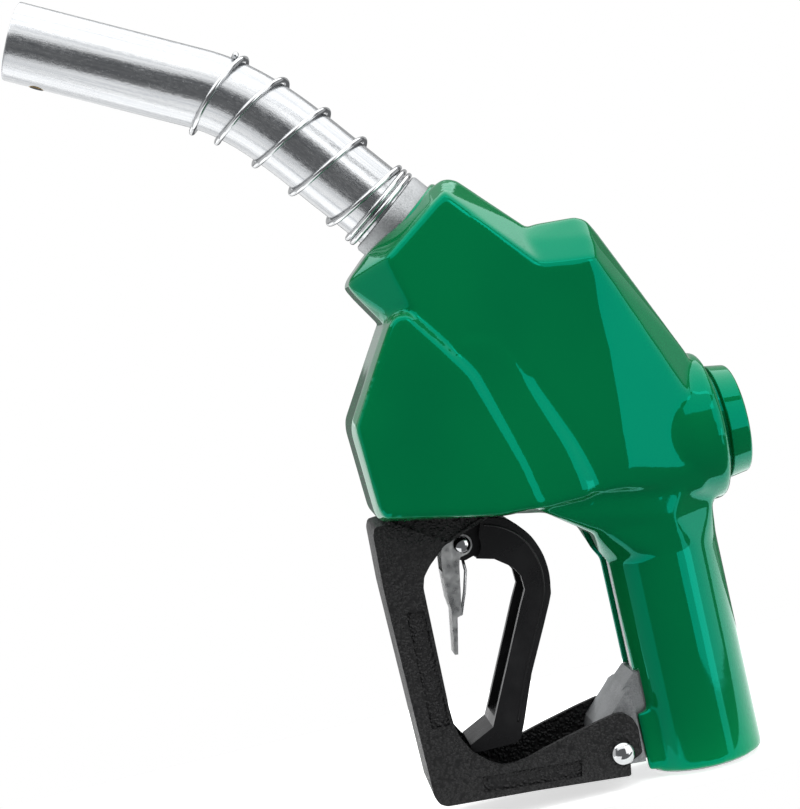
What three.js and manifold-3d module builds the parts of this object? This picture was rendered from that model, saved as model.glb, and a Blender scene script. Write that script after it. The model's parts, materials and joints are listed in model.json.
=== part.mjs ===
// Automatic high-flow fuel nozzle: moulded cover over a cast body, bent spout with its anchor spring,
// squeeze lever with a hold-open clip, hand guard, and the main valve, trip plunger and vacuum
// chamber inside. Millimetres, +Z up along the handle, +X towards the valve cap. The origin is the
// centre of the hose inlet's end face. The object is symmetric about y = 0.
import * as THREE from "three";
import { ConvexGeometry } from "three/addons/geometries/ConvexGeometry.js";
import { mergeVertices } from "three/addons/utils/BufferGeometryUtils.js";
import Module from "manifold-3d";

const wasm = await Module();
wasm.setup();

// ---- driving dimensions ----

const GAP = 0.3; // between neighbouring pieces
const COVER_WALL = 2.4;
const HANDLE_RADIUS = 23.3; // outside of the cover
const HANDLE_CASTING_RADIUS = 20.5;
const HANDLE_BORE_RADIUS = 14;
const INLET_RADIUS = 16.4; // socket for a 1 inch pipe thread
const INLET_DEPTH = 22;
const VALVE_HEIGHT = 126; // of the main valve's axis, which runs along X
const VALVE_SEAT_X = -3.4;
const CAP_END_X = 41;
const CAP_RADIUS = 22.3;
const PIVOT = [-76, 156]; // lever's fulcrum, [x, z], on the end of the trip plunger
const VACUUM_CHAMBER = [-24, 196]; // [x, z], on the plunger's axis
const COLLAR = [-71, 228.5]; // where the spout leaves the cover, [x, z]
const SPOUT_RADIUS = 15;
const SPOUT_WALL = 2;
const SPOUT_BASE_ANGLE = 39; // degrees from +Z towards -X
const SPOUT_TIP_ANGLE = 63.5;
const SPRING_WIRE = 1.1; // radius of the anchor spring's wire
const SPRING_RADIUS = 16.6;
const SPRING_TURNS = 7.06;
const SPRING_PLACES = [ // along the spout from the collar, at every half turn
  7.5, 8.65, 9.8, 10.95, 12.2, 19.9, 29.1, 38.3, 46.5, 56.7, 64.4, 76, 79.2, 88.9, 82.8, 81,
];
const GUARD_HALF_WIDTH = 20;
const GUARD_WALL = 2.5;
const GUARD_RIVET = [-33.6, 13.2];
const GUARD_SCREW = [-93, 132];
const LEVER_HALF_WIDTH = 13;
const ARM_HALF_WIDTH = 6.5;
const CLIP_RIVET = [-74.9, 103.2];

const rad = THREE.MathUtils.degToRad;
const side = ([x, z], y = 0) => new THREE.Vector3(x, y, z);
const leaning = (angle) => new THREE.Vector3(-Math.sin(rad(angle)), 0, Math.cos(rad(angle)));

const ALONG_X = new THREE.Vector3(1, 0, 0);
const ALONG_Y = new THREE.Vector3(0, 1, 0);
const ALONG_Z = new THREE.Vector3(0, 0, 1);
const ORIGIN = new THREE.Vector3();
const VALVE_LINE = side([0, VALVE_HEIGHT]); // the valve's axis passes here
const SPOUT_AXIS = leaning(SPOUT_BASE_ANGLE);
const TIP_AXIS = leaning(SPOUT_TIP_ANGLE);
const PLUNGER_AXIS = side(VACUUM_CHAMBER).sub(side(PIVOT)).normalize();
const PLUNGER_LENGTH = side(VACUUM_CHAMBER).distanceTo(side(PIVOT));

// ---- shape tools ----

// A closed geometry as a manifold solid whose faces point out.
function solidOf(geometry) {
  const bare = geometry.index ? geometry.toNonIndexed() : geometry.clone();
  bare.deleteAttribute("normal");
  bare.deleteAttribute("uv");
  const merged = mergeVertices(bare, 1e-4);
  const corners = merged.index.array;
  const build = (flip) => {
    const triVerts = [];
    for (let i = 0; i < corners.length; i += 3) {
      const [a, b, c] = [corners[i], corners[i + 1], corners[i + 2]];
      if (a === b || b === c || a === c) continue;
      triVerts.push(a, flip ? c : b, flip ? b : c);
    }
    return new wasm.Manifold(
      new wasm.Mesh({
        numProp: 3,
        vertProperties: merged.attributes.position.array,
        triVerts: new Uint32Array(triVerts),
      }),
    );
  };
  const made = build(false);
  return made.volume() < 0 ? build(true) : made;
}

const join = (...solids) => solids.reduce((all, one) => all.add(one));
const cut = (solid, ...tools) => tools.reduce((left, tool) => left.subtract(tool), solid);

// A side outline of [x, z] points, drawn out from one y to another.
function plate(outline, fromY, toY) {
  const shape = new THREE.Shape(outline.map(([x, z]) => new THREE.Vector2(x, z)));
  const geometry = new THREE.ExtrudeGeometry(shape, { depth: toY - fromY, bevelEnabled: false });
  geometry.rotateX(Math.PI / 2).translate(0, toY, 0);
  return solidOf(geometry);
}

const slab = (outline, halfWidth) => plate(outline, -halfWidth, halfWidth);

// A profile of [radius, distance] points turned about the line through `from` along `axis`.
function turned(profile, from, axis, segments = 18) {
  const points = profile.map(([r, d]) => new THREE.Vector2(r, d));
  if (points[0].x > 0) points.push(points[0].clone());
  const geometry = new THREE.LatheGeometry(points, segments);
  geometry.applyQuaternion(new THREE.Quaternion().setFromUnitVectors(ALONG_Y, axis));
  geometry.translate(from.x, from.y, from.z);
  return solidOf(geometry);
}

const disc = (radius, from, axis, start, end, segments) =>
  turned([[0, start], [radius, start], [radius, end], [0, end]], from, axis, segments);

const ring = (inner, outer, from, axis, start, end, segments) =>
  turned([[inner, start], [outer, start], [outer, end], [inner, end]], from, axis, segments);

const rod = (radius, a, b, segments) =>
  disc(radius, a, b.clone().sub(a).normalize(), 0, a.distanceTo(b), segments);

// A pin across the object, from one y to another.
const crossPin = (radius, at, fromY, toY, segments = 12) =>
  disc(radius, side(at), ALONG_Y, fromY, toY, segments);

function ball(radius, at) {
  const geometry = new THREE.SphereGeometry(radius, 10, 6);
  return solidOf(geometry.translate(at.x, at.y, at.z));
}

function block([x0, x1], [y0, y1], [z0, z1]) {
  const geometry = new THREE.BoxGeometry(x1 - x0, y1 - y0, z1 - z0);
  return solidOf(geometry.translate((x0 + x1) / 2, (y0 + y1) / 2, (z0 + z1) / 2));
}

// The smallest convex solid round [x, z, half width] points, each taken on both sides of y = 0.
const hull = (points) =>
  solidOf(new ConvexGeometry(points.flatMap(([x, z, w]) => [side([x, z], w), side([x, z], -w)])));

// A round section swept along a curve.
function sweep(path, radius, steps, sides) {
  const section = new THREE.Shape();
  for (let i = 0; i < sides; i++) {
    const angle = (2 * Math.PI * i) / sides;
    section[i ? "lineTo" : "moveTo"](radius * Math.cos(angle), radius * Math.sin(angle));
  }
  return solidOf(new THREE.ExtrudeGeometry(section, { steps, extrudePath: path }));
}

// A straight coil spring about the line through `from` along `axis`.
class Coil extends THREE.Curve {
  constructor(from, axis, radius, start, end, turns) {
    super();
    Object.assign(this, { from, axis, radius, start, end, turns });
    this.across = new THREE.Vector3().crossVectors(axis, ALONG_Y).normalize();
    this.up = new THREE.Vector3().crossVectors(this.across, axis);
  }
  getPoint(t) {
    const angle = 2 * Math.PI * this.turns * t;
    return this.from.clone()
      .addScaledVector(this.axis, this.start + (this.end - this.start) * t)
      .addScaledVector(this.across, this.radius * Math.cos(angle))
      .addScaledVector(this.up, this.radius * Math.sin(angle));
  }
}

const coil = (from, axis, radius, wire, start, end, turns) =>
  sweep(new Coil(from, axis, radius, start + wire, end - wire, turns), wire, turns * 9, 4);

// ---- materials ----

const finish = (color, roughness, metalness) => ({ color, roughness, metalness });
const FINISHES = {
  greenVinyl: finish(0x007a45, 0.15, 0),
  castAluminium: finish(0xb4b6b8, 0.45, 0.9),
  brushedAluminium: finish(0xd4d7da, 0.25, 1),
  chrome: finish(0xd9dcdf, 0.08, 1),
  zincSteel: finish(0xaeb0ae, 0.35, 1),
  blackNylon: finish(0x1d1d1f, 0.65, 0),
  satinBlack: finish(0x121213, 0.4, 0),
  brass: finish(0xb08d4a, 0.3, 1),
  stainless: finish(0xc0c2c4, 0.25, 1),
  blackRubber: finish(0x151515, 0.8, 0),
};

const nozzle = new THREE.Group();

function addPiece(name, solid, finishName) {
  const mesh = solid.getMesh();
  const geometry = new THREE.BufferGeometry()
    .setAttribute("position", new THREE.BufferAttribute(mesh.vertProperties, 3))
    .setIndex(new THREE.BufferAttribute(mesh.triVerts, 1));
  geometry.computeVertexNormals();
  const piece = new THREE.Mesh(geometry, new THREE.MeshStandardMaterial(FINISHES[finishName]));
  piece.name = name;
  nozzle.add(piece);
}

// ---- the spout's middle line ----

const SPOUT_ROOT = -20; // distances along the spout are counted from the collar
const SPOUT_TIP = [-197.8, 326];
const BEND_START = side(COLLAR).addScaledVector(SPOUT_AXIS, 30);
const BEND_END = side(SPOUT_TIP).addScaledVector(TIP_AXIS, -71);

// Straight out of the collar, one smooth bend, then straight to the tip, all moved `down` towards
// the spout's underside, and run on past both ends by `extra`.
function spoutLine(down = 0, root = SPOUT_ROOT, tip = 0, extra = 0) {
  const under = (axis) => new THREE.Vector3(-axis.z, 0, axis.x).multiplyScalar(down);
  const base = side(COLLAR).addScaledVector(SPOUT_AXIS, root - extra).add(under(SPOUT_AXIS));
  const bendStart = BEND_START.clone().add(under(SPOUT_AXIS));
  const bendEnd = BEND_END.clone().add(under(TIP_AXIS));
  const end = side(SPOUT_TIP).addScaledVector(TIP_AXIS, extra - tip).add(under(TIP_AXIS));
  const reach = bendStart.distanceTo(bendEnd) / 3;
  const line = new THREE.CurvePath();
  line.add(new THREE.LineCurve3(base, bendStart));
  line.add(
    new THREE.CubicBezierCurve3(
      bendStart,
      bendStart.clone().addScaledVector(SPOUT_AXIS, reach),
      bendEnd.clone().addScaledVector(TIP_AXIS, -reach),
      bendEnd,
    ),
  );
  line.add(new THREE.LineCurve3(bendEnd, end));
  return line;
}

// ---- cover ----

// Outer skin as convex pieces of [x, z, half width] points.
const COVER_PIECES = {
  neck: [
    [-86, 219, 12], [-56, 238, 12], [-51, 240, 12], [-27, 216, 12], [-16, 190, 12], [-40, 150, 12],
    [-81, 214, 29], [-55, 233.6, 29], [-27, 203, 29], [-20, 185, 29], [-45, 150, 29], [-72, 180, 29],
    [-84, 200, 27], [-94.5, 210, 15], [-95.5, 207.5, 15], [-93.3, 203, 15], [-76, 176, 15],
  ],
  middle: [
    [-34, 205, 12], [-27, 214.5, 12], [-16, 215, 12], [-3, 214, 12], [0, 211, 12], [3.4, 200, 12],
    [14, 174, 12], [25, 155, 12], [24, 98, 12], [-40, 107.7, 12], [-75, 115, 12], [-75, 165, 12],
    [-40, 198, 31], [-26, 202, 31], [-12, 198.7, 31], [-6, 160, 33], [-4, 125, 33], [-10, 109, 32],
    [-36, 109.6, 33], [-75, 116, 31], [-70, 165, 31], [1, 196, 25], [20, 150, 25], [17, 104, 25],
  ],
  chin: [
    [-105.2, 123, 20], [-106.1, 139, 20], [-107, 155.5, 20], [-106.6, 158.6, 20], [-85.4, 191.8, 20],
    [-60, 190, 20], [-45, 150, 20], [-45, 109, 20], [-58.4, 111.4, 20], [-103.3, 119.8, 20],
    [-103.6, 124, 33], [-105, 156, 33], [-86.9, 190, 33], [-78, 193, 33], [-59.7, 168.4, 33],
    [-52.1, 143.5, 33], [-44.8, 112, 33], [-60.7, 113, 33], [-102.5, 121.5, 33],
  ],
};
const THROAT_CORNERS = [
  [-36, 107, 28], [-29, 102, 22], [24, 98, 16], [14, 106, 24], [-40, 112, 30], [10, 116, 28],
];
const HANDLE_TOP = 84; // where the round handle starts to spread into the body

// The same points drawn in from every side of their bounding box.
function drawnIn(points, depth) {
  const x = points.map((p) => p[0]);
  const z = points.map((p) => p[1]);
  const half = (values) => (Math.max(...values) - Math.min(...values)) / 2;
  const middle = (values) => (Math.max(...values) + Math.min(...values)) / 2;
  const shrink = (value, values) =>
    middle(values) + (value - middle(values)) * (1 - depth / half(values));
  const widest = Math.max(...points.map((p) => p[2]));
  return points.map((p) => [shrink(p[0], x), shrink(p[1], z), p[2] * (1 - depth / widest)]);
}

function coverForm(depth, bottom) {
  const radius = HANDLE_RADIUS - depth;
  const around = [];
  for (let i = 0; i <= 12; i++) {
    const angle = (Math.PI * i) / 12;
    around.push([radius * Math.cos(angle), HANDLE_TOP, radius * Math.sin(angle)]);
  }
  const boss = [
    [0, 0], [25, 0], [29, 20], [29, 28.5], [27, 31], [22.5, 32], [21.6, 32.6], [CAP_RADIUS, 33.2],
    [CAP_RADIUS, 39.5], [20.8, CAP_END_X], [0, CAP_END_X],
  ].map(([r, x]) => [Math.max(r - depth, 0), x > 0 ? x - depth : 0]);
  return join(
    ...Object.values(COVER_PIECES).map((points) => hull(depth ? drawnIn(points, depth) : points)),
    hull([...around, ...(depth ? drawnIn(THROAT_CORNERS, depth) : THROAT_CORNERS)]),
    disc(radius, ORIGIN, ALONG_Z, bottom, HANDLE_TOP + 4, 28),
    turned(boss, VALVE_LINE, ALONG_X, 24),
  );
}

function addCover() {
  const shell = cut(
    coverForm(0, 0.5),
    coverForm(COVER_WALL, -1),
    disc(18, side(COLLAR), SPOUT_AXIS, -14, 14, 24),
    block([-102, -56], [-22, 22], [100, 122]), // the guard and the lever go up through here
    slab([[-58, 100], [-58, 114], [-40, 113], [-36.5, 110], [-36.5, 100]], 15), // the squeezed lever's room
    block([-30, -8], [-9, 9], [40, 96]), // slit down the handle's front
    block([-30, -8], [-12.5, 12.5], [-1, 41]), // wider where the hinge lug comes out
  );
  addPiece("grip_cover", shell, "greenVinyl");
}

// ---- cast body ----

const OUTLET_BEND = [-37, 186];
const CHEEK = [[-97.4, 128], [-45, 120], [-38, 150], [-50, 172], [-66, 172], [-84, 160], [-97.4, 140]];
const LUG_TIP = [[-37, 8.2], [-39.6, 9.4], [-40.8, 12], [-40.9, 19.6], [-39.4, 23], [-29.4, 32.8]];
const HINGE_LUG = [[-18, 6.9], ...LUG_TIP, [-26.4, 36.2], [-21.6, 40.5], [-18, 40.5]];
const WIDE_LUG = [[-25, 7.4], ...LUG_TIP, [-27.4, 35], [-25, 36]];

function castOutside() {
  const outlet = side(OUTLET_BEND);
  const cheeks = [-1, 1].map((way) => plate(CHEEK, way > 0 ? 9 : -13, way > 0 ? 13 : -9));
  return join(
    disc(HANDLE_CASTING_RADIUS, ORIGIN, ALONG_Z, 0, 112, 24),
    turned(
      [[0, -58], [7.5, -58], [7.5, -44], [18.5, -26], [24, -12], [24, 29], [0, 29]],
      VALVE_LINE, ALONG_X,
    ),
    rod(16.5, side([-18, VALVE_HEIGHT]), outlet),
    ball(19, outlet),
    rod(18.5, outlet, side(COLLAR).addScaledVector(SPOUT_AXIS, -6)),
    turned(
      [
        [0, 16], [6.5, 16], [6.5, 41], [8.2, 44], [8.2, 56], [15.5, 58], [15.5, PLUNGER_LENGTH],
        [0, PLUNGER_LENGTH],
      ],
      side(PIVOT), PLUNGER_AXIS,
    ),
    ...cheeks,
    block([-61, -48], [-13, 13], [163, 177]),
    block([-97.4, -88.8], [-17, 17], [126, 140]),
    slab(HINGE_LUG, 11.5),
    slab(WIDE_LUG, 17),
  );
}

// Passages, pockets and bores of the casting.
function castInside() {
  const outlet = side(OUTLET_BEND);
  const valveBores = turned(
    [
      [0, -60], [5.3, -60], [5.3, -46], [3.6, -46], [3.6, -40], [6, -40], [14, -26], [14, -8.5],
      [16.3, -8.5], [16.3, VALVE_SEAT_X], [19.5, VALVE_SEAT_X], [19.5, 32], [0, 32],
    ],
    VALVE_LINE, ALONG_X,
  );
  const guideTube = join(
    disc(6.5, side(PIVOT), PLUNGER_AXIS, 16, 43),
    disc(8.2, side(PIVOT), PLUNGER_AXIS, 41, PLUNGER_LENGTH),
  );
  const outletPassage = cut(
    join(
      rod(12, side([-18, VALVE_HEIGHT]), outlet),
      ball(15, outlet),
      rod(12.5, outlet, side(COLLAR)),
    ),
    guideTube,
  );
  const handlePassage = join(
    disc(INLET_RADIUS, ORIGIN, ALONG_Z, -1, INLET_DEPTH),
    disc(HANDLE_BORE_RADIUS, ORIGIN, ALONG_Z, INLET_DEPTH - 1, 98),
    rod(9, side([3, 88]), side([14, 116])),
  );
  const spoutSocket = turned(
    [[0, -30.3], [15.1, -30.3], [15.1, -20.3], [15.3, -20.3],
      [15.3, -16], [17.2, -16], [17.2, -13], [15.3, -13], [15.3, 2], [0, 2]],
    side(COLLAR), SPOUT_AXIS,
  );
  const plungerBores = turned(
    [[0, 10], [4.1, 10], [4.1, 44], [6.3, 44], [6.3, 61], [12.6, 61], [12.6, 70], [0, 70]],
    side(PIVOT), PLUNGER_AXIS,
  );
  const capRoom = disc(15.9, side(PIVOT), PLUNGER_AXIS, PLUNGER_LENGTH, 80);
  return [valveBores, outletPassage, handlePassage, spoutSocket, plungerBores, capRoom];
}

function addBodyCasting() {
  const neckSide = side(COLLAR).addScaledVector(SPOUT_AXIS, -9);
  const whole = cut(
    castOutside(),
    ...castInside(),
    slab([[-88.8, 120], [-66, 120], [-62, 132], [-62, 163], [-88.8, 163]], 8.9), // for arm and fork
    crossPin(2.8, GUARD_SCREW, -18, 18),
    crossPin(2.8, GUARD_RIVET, -18, 18),
    disc(2.3, neckSide, ALONG_Y, 14, 22, 16),
  );
  const room = coverForm(COVER_WALL + 0.4, 0).add(block([-60, -19], [-18, 18], [0, 60]));
  addPiece("body_casting", whole.intersect(room), "castAluminium");
}

// ---- inlet ----

function addInlet() {
  const gasket = ring(HANDLE_BORE_RADIUS, INLET_RADIUS - GAP, ORIGIN, ALONG_Z, 18, 19.9);
  addPiece("inlet_gasket", gasket, "blackRubber");
  const strainer = turned(
    [
      [13.2, 20.2], [16, 20.2], [16, 21.7], [13.7, 21.7], [5.2, 52], [2.5, 52], [2.5, 51.2],
      [4.4, 51.2],
    ],
    ORIGIN, ALONG_Z, 18,
  );
  addPiece("inlet_strainer", strainer, "stainless");
}

// ---- spout ----

function addSpout() {
  const tube = cut(
    sweep(spoutLine(), SPOUT_RADIUS, 14, 22),
    sweep(spoutLine(0, SPOUT_ROOT, 0, 2), SPOUT_RADIUS - SPOUT_WALL, 14, 22),
    rod(2.9, ventPoint(0), ventPoint(20), 16),
  );
  addPiece("spout_tube", tube, "brushedAluminium");

  const ferrule = turned(
    [[15.35, -5.6], [17.6, -5.6], [17.6, 4.6], [16.9, 6.1], [15.35, 6.1]],
    side(COLLAR), SPOUT_AXIS, 28,
  );
  addPiece("spout_ferrule", ferrule, "castAluminium");
  addPiece("spout_seal", ring(15.3, 16.9, side(COLLAR), SPOUT_AXIS, -15.7, -13.3), "blackRubber");
  const setScrew = side(COLLAR).addScaledVector(SPOUT_AXIS, -9);
  addPiece("spout_set_screw", disc(2, setScrew, ALONG_Y, 15.4, 19.4, 16), "stainless");
}

// A point on the spout's cross line 13 mm from the tip, `down` below the middle line.
function ventPoint(down) {
  const under = new THREE.Vector3(-TIP_AXIS.z, 0, -Math.abs(TIP_AXIS.x)).multiplyScalar(down);
  return side(SPOUT_TIP).addScaledVector(TIP_AXIS, -13).add(under);
}

// A value between the entries of a list, without overshoot.
function smoothBetween(values, place) {
  const i = Math.min(Math.floor(place), values.length - 2);
  const slope = (k) => {
    const [before, after] = [values[k] - values[k - 1], values[k + 1] - values[k]];
    return before * after > 0 ? (2 * before * after) / (before + after) : 0;
  };
  const s = place - i;
  const rise = values[i + 1] - values[i];
  return values[i] + s * s * (3 - 2 * s) * rise + s * (1 - s) * ((1 - s) * slope(i) - s * slope(i + 1));
}

// Two closed turns at the ferrule, then open ones, and a last turn that doubles back.
class AnchorSpring extends THREE.Curve {
  constructor() {
    super();
    this.line = spoutLine();
    this.length = this.line.getLength();
  }
  getPoint(t) {
    const turn = SPRING_TURNS * t;
    const u = (smoothBetween(SPRING_PLACES, 2 * turn) - SPOUT_ROOT) / this.length;
    const tangent = this.line.getTangentAt(u);
    const top = new THREE.Vector3(tangent.z, 0, -tangent.x);
    const angle = 2 * Math.PI * turn;
    return this.line.getPointAt(u)
      .addScaledVector(top, SPRING_RADIUS * Math.cos(angle))
      .addScaledVector(ALONG_Y, -SPRING_RADIUS * Math.sin(angle));
  }
}

function addAnchorSpring() {
  addPiece("anchor_spring", sweep(new AnchorSpring(), SPRING_WIRE, 108, 5), "chrome");
}

function addVent() {
  const drop = 9.2; // of the vent tube below the spout's middle line
  const tube = cut(
    sweep(spoutLine(drop, -10, 13), 2.4, 10, 8),
    sweep(spoutLine(drop, -10, 15.4, 1), 1.6, 10, 8),
    rod(1.6, ventPoint(drop), ventPoint(drop + 4), 12),
  );
  addPiece("vent_tube", tube, "stainless");
  const bush = turned(
    [[1.6, 12], [2.5, 12], [2.5, 15], [3.4, 15.2], [3.4, 15.9], [1.6, 15.9]],
    ventPoint(0), ventPoint(1).sub(ventPoint(0)).normalize(), 16,
  );
  addPiece("vent_port_bush", bush, "brass");
}

// ---- check valve in the spout's root ----

function addCheckValve() {
  const at = side(COLLAR);
  const arms = [0, 1, 2].map((i) => {
    const angle = (2 * Math.PI * i) / 3;
    const across = new THREE.Vector3(SPOUT_AXIS.z, 0, -SPOUT_AXIS.x).multiplyScalar(Math.cos(angle))
      .addScaledVector(ALONG_Y, Math.sin(angle));
    const reach = (distance) => at.clone().addScaledVector(SPOUT_AXIS, -28).addScaledVector(across, distance);
    return rod(1.3, reach(3.4), reach(12), 8);
  });
  const body = join(
    turned([[10.5, -30], [14.8, -30], [14.8, -20.6], [9.5, -20.6]], at, SPOUT_AXIS),
    ring(2.4, 4, at, SPOUT_AXIS, -30, -25.5, 16),
    ...arms,
  );
  addPiece("venturi_seat", body, "brass");
  const poppet = turned(
    [[0, -38], [3.4, -38], [3.4, -36.5], [2, -36.5], [2, -20.2], [10.6, -20.2], [6, -15], [0, -13]],
    at, SPOUT_AXIS, 24,
  );
  addPiece("check_poppet", poppet, "brass");
  addPiece("check_spring", coil(at, SPOUT_AXIS, 3, 0.45, -36.2, -30.3, 4), "stainless");
}

// ---- main valve ----

const onValveLine = (profile, segments = 18) => turned(profile, VALVE_LINE, ALONG_X, segments);

function addMainValve() {
  const seat = onValveLine([
    [12, -8.2], [16, -8.2], [16, -3.9], [13.2, -3.9], [13, -3.2], [12, -3.2],
  ]);
  const disk = onValveLine([[3.3, -2.9], [15.5, -2.9], [15.5, 0.6], [3.3, 0.6]]);
  const retainer = onValveLine([[3.3, -5.2], [7, -5.2], [7, -3.2], [3.3, -3.2]], 24);
  const poppet = onValveLine([[0, 0.9], [16, 0.9], [16, 4], [5, 4], [5, 26.5], [0, 26.5]]);
  const stem = onValveLine([[0, -69.4], [2, -69.4], [3, -68.4], [3, 0.6], [0, 0.6]], 20);
  const packing = onValveLine([[3.3, -50.5], [5, -50.5], [5, -46.3], [3.3, -46.3]], 20);
  const gland = onValveLine(
    [[3.3, -60.5], [6.8, -60.5], [6.8, -58.3], [5, -58.3], [5, -50.8], [3.3, -50.8]], 20,
  );
  addPiece("valve_seat", seat, "brass");
  addPiece("valve_disc", disk, "blackRubber");
  addPiece("disc_retainer", retainer, "brass");
  addPiece("valve_poppet", poppet, "brass");
  addPiece("valve_stem", stem, "stainless");
  addPiece("valve_spring", coil(VALVE_LINE, ALONG_X, 10.8, 0.8, 4.3, 33.8, 6), "stainless");
  addPiece("stem_packing", packing, "blackRubber");
  addPiece("stem_gland", gland, "brass");
}

function addValveCap() {
  const cap = onValveLine([
    [5.3, 24], [8, 24], [8, 34.1], [14, 34.1], [14, 20], [17.6, 20], [17.6, 25.8], [16.4, 25.8],
    [16.4, 28.2], [19.1, 28.2], [19.1, 29.3], [18.8, 29.3], [18.8, 37], [17.6, 38.2], [0, 38.2],
    [0, 34.5], [5.3, 34.5],
  ]);
  const seal = onValveLine([[16.7, 26.1], [19.2, 26.1], [19.2, 27.9], [16.7, 27.9]]);
  addPiece("valve_cap", cap, "castAluminium");
  addPiece("valve_cap_seal", seal, "blackRubber");
}

// ---- trip plunger and vacuum chamber ----

const onPlungerLine = (profile, segments = 16) => turned(profile, side(PIVOT), PLUNGER_AXIS, segments);

function addTripPlunger() {
  const forkOutline = [[-5.6, -5.6], [5.6, -5.6], [5.6, 13], [-5.6, 13]]; // [across, along the plunger]
  const across = new THREE.Vector3(PLUNGER_AXIS.z, 0, -PLUNGER_AXIS.x);
  const fork = forkOutline.map(([a, d]) => {
    const p = side(PIVOT).addScaledVector(across, a).addScaledVector(PLUNGER_AXIS, d);
    return [p.x, p.z];
  });
  const shank = onPlungerLine([[0, 12], [3.7, 12], [3.7, 54], [5.8, 54], [5.8, 58.5], [0, 58.5]]);
  const plunger = cut(
    join(slab(fork, 8.4), shank),
    crossPin(8.6, PIVOT, -ARM_HALF_WIDTH - 0.4, ARM_HALF_WIDTH + 0.4, 32),
    crossPin(2.7, PIVOT, -9, 9),
    onPlungerLine([[0, 46], [1.8, 46], [1.8, 60], [0, 60]], 16),
    ...latchDirections().map((way) => disc(1.6, latchPoint(), way, 1, 7, 12)),
  );
  addPiece("trip_plunger", plunger, "stainless");
  addPiece("lever_pin", crossPin(2.4, PIVOT, -8.4, 8.4), "stainless");
  addPiece("trip_spring", coil(side(PIVOT), PLUNGER_AXIS, 5, 0.5, 44.3, 53.7, 4), "stainless");
}

const latchPoint = () => side(PIVOT).addScaledVector(PLUNGER_AXIS, 56.2);

function latchDirections() {
  const across = new THREE.Vector3(PLUNGER_AXIS.z, 0, -PLUNGER_AXIS.x);
  return [0, 1, 2].map((i) => {
    const angle = (2 * Math.PI * i) / 3;
    return across.clone().multiplyScalar(Math.cos(angle)).addScaledVector(ALONG_Y, Math.sin(angle));
  });
}

function addLatch() {
  latchDirections().forEach((way, i) => {
    addPiece("latch_ball_" + (i + 1), ball(1.2, latchPoint().addScaledVector(way, 3.9)), "stainless");
  });
  const pin = onPlungerLine([[0, 50], [1.4, 50], [1.4, 62.3], [6, 62.3], [6, 63.3], [0, 63.3]]);
  const diaphragm = onPlungerLine([[1, 63.7], [12.3, 63.7], [12.3, 64.9], [1, 64.9]]);
  const backing = onPlungerLine([[0, 65.2], [6.5, 65.2], [6.5, 66], [0, 66]]);
  addPiece("latch_pin", pin, "brass");
  addPiece("diaphragm", diaphragm, "blackRubber");
  addPiece("diaphragm_plate", backing, "stainless");
  addPiece("diaphragm_spring", coil(side(PIVOT), PLUNGER_AXIS, 4.2, 0.5, 66.3, 72.8, 3), "stainless");
}

function addVacuumCap() {
  const rim = PLUNGER_LENGTH + GAP;
  const cap = onPlungerLine([
    [8, 67.2], [12.4, 67.2], [12.4, rim], [15.5, rim], [15.5, rim + 1.8], [9.5, rim + 3], [7, 74.6],
    [0, 74.6], [0, 73.1], [6, 73.1],
  ]);
  addPiece("vacuum_cap", cap, "castAluminium");
}

// ---- lever ----

// [x, z] outline of the squeezed part: over the fingers, down the grip and out to the foot.
const LEVER_OUTLINE = [
  [-66, 112.5], [-59.1, 110.6], [-55.5, 108.6], [-52.7, 105.9], [-49.4, 101.8], [-47.3, 97.6],
  [-45.7, 92.4], [-45.1, 86], [-45.8, 80], [-47.6, 74.4], [-60.1, 49.6], [-67, 32], [-69.5, 26.5],
  [-72, 25.2], [-88.7, 25.2], [-88.9, 28.5], [-79, 33.2], [-70.3, 51.2], [-58.5, 76], [-55.6, 81.5],
  [-55.9, 87], [-58.3, 91], [-64.5, 95.6], [-71, 97.3],
];
const ARM_OUTLINE = [
  [-66, 112.5], [-72.2, 121.5], [-72.2, 123], [-70.6, 124.2], [-69.8, 126], [-70.6, 127.8],
  [-72.2, 129], [-70.2, 154], [-71.4, 159.4], [-76, 162], [-80.6, 159.4], [-82, 154], [-81.5, 106],
  [-79.5, 98.5], [-74.9, 96.7], [-67, 99],
];
// Hollow on the finger side of the grip, which makes it a channel.
const LEVER_CHANNEL = [
  [-75.5, 94.2], [-66.5, 93], [-61, 89.5], [-58.7, 86], [-58.5, 82], [-61.5, 76.3], [-73.5, 51],
  [-80, 36.5], [-74.5, 36.5], [-67.3, 50.8], [-55.5, 75.2], [-52.9, 81], [-53.2, 87.6], [-56, 93],
  [-61, 97.5], [-66, 99.9], [-75, 99.5],
];

function addLever() {
  const lever = cut(
    join(slab(LEVER_OUTLINE, LEVER_HALF_WIDTH), slab(ARM_OUTLINE, ARM_HALF_WIDTH)),
    slab(LEVER_CHANNEL, LEVER_HALF_WIDTH - 3).subtract(block([-80, -64], [-6.5, 6.5], [90, 104])),
    crossPin(2.7, PIVOT, -8, 8),
    crossPin(2.3, CLIP_RIVET, -8, 8),
    ...[-1, 1].map((way) => crossPin(6.8, CLIP_RIVET, way > 0 ? 6.8 : -14, way > 0 ? 14 : -6.8)),
  );
  addPiece("lever", lever, "satinBlack");
}

// ---- hold-open clip ----

const CLIP_EAR = [
  [-74.9, 107.4], [-77.9, 106.2], [-81.9, 104.7], [-83.5, 101.8], [-84.3, 94.3], [-84.6, 83.4],
  [-84, 78.8], [-81.9, 76.4], [-80.6, 78], [-77.7, 94.9], [-76.8, 98.6], [-73, 99.4], [-71, 101.6],
  [-70.9, 104.5], [-72.2, 106.4],
];
const CLIP_BACK = [
  [-84.3, 94.3], [-84.6, 83.4], [-84, 78.8], [-82.6, 78.4], [-83.3, 83.4], [-83, 94.1],
];
const CLIP_STRIP = [[-84, 79.5], [-86.6, 62.3], [-85.3, 62.1], [-82.2, 77]];

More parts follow.
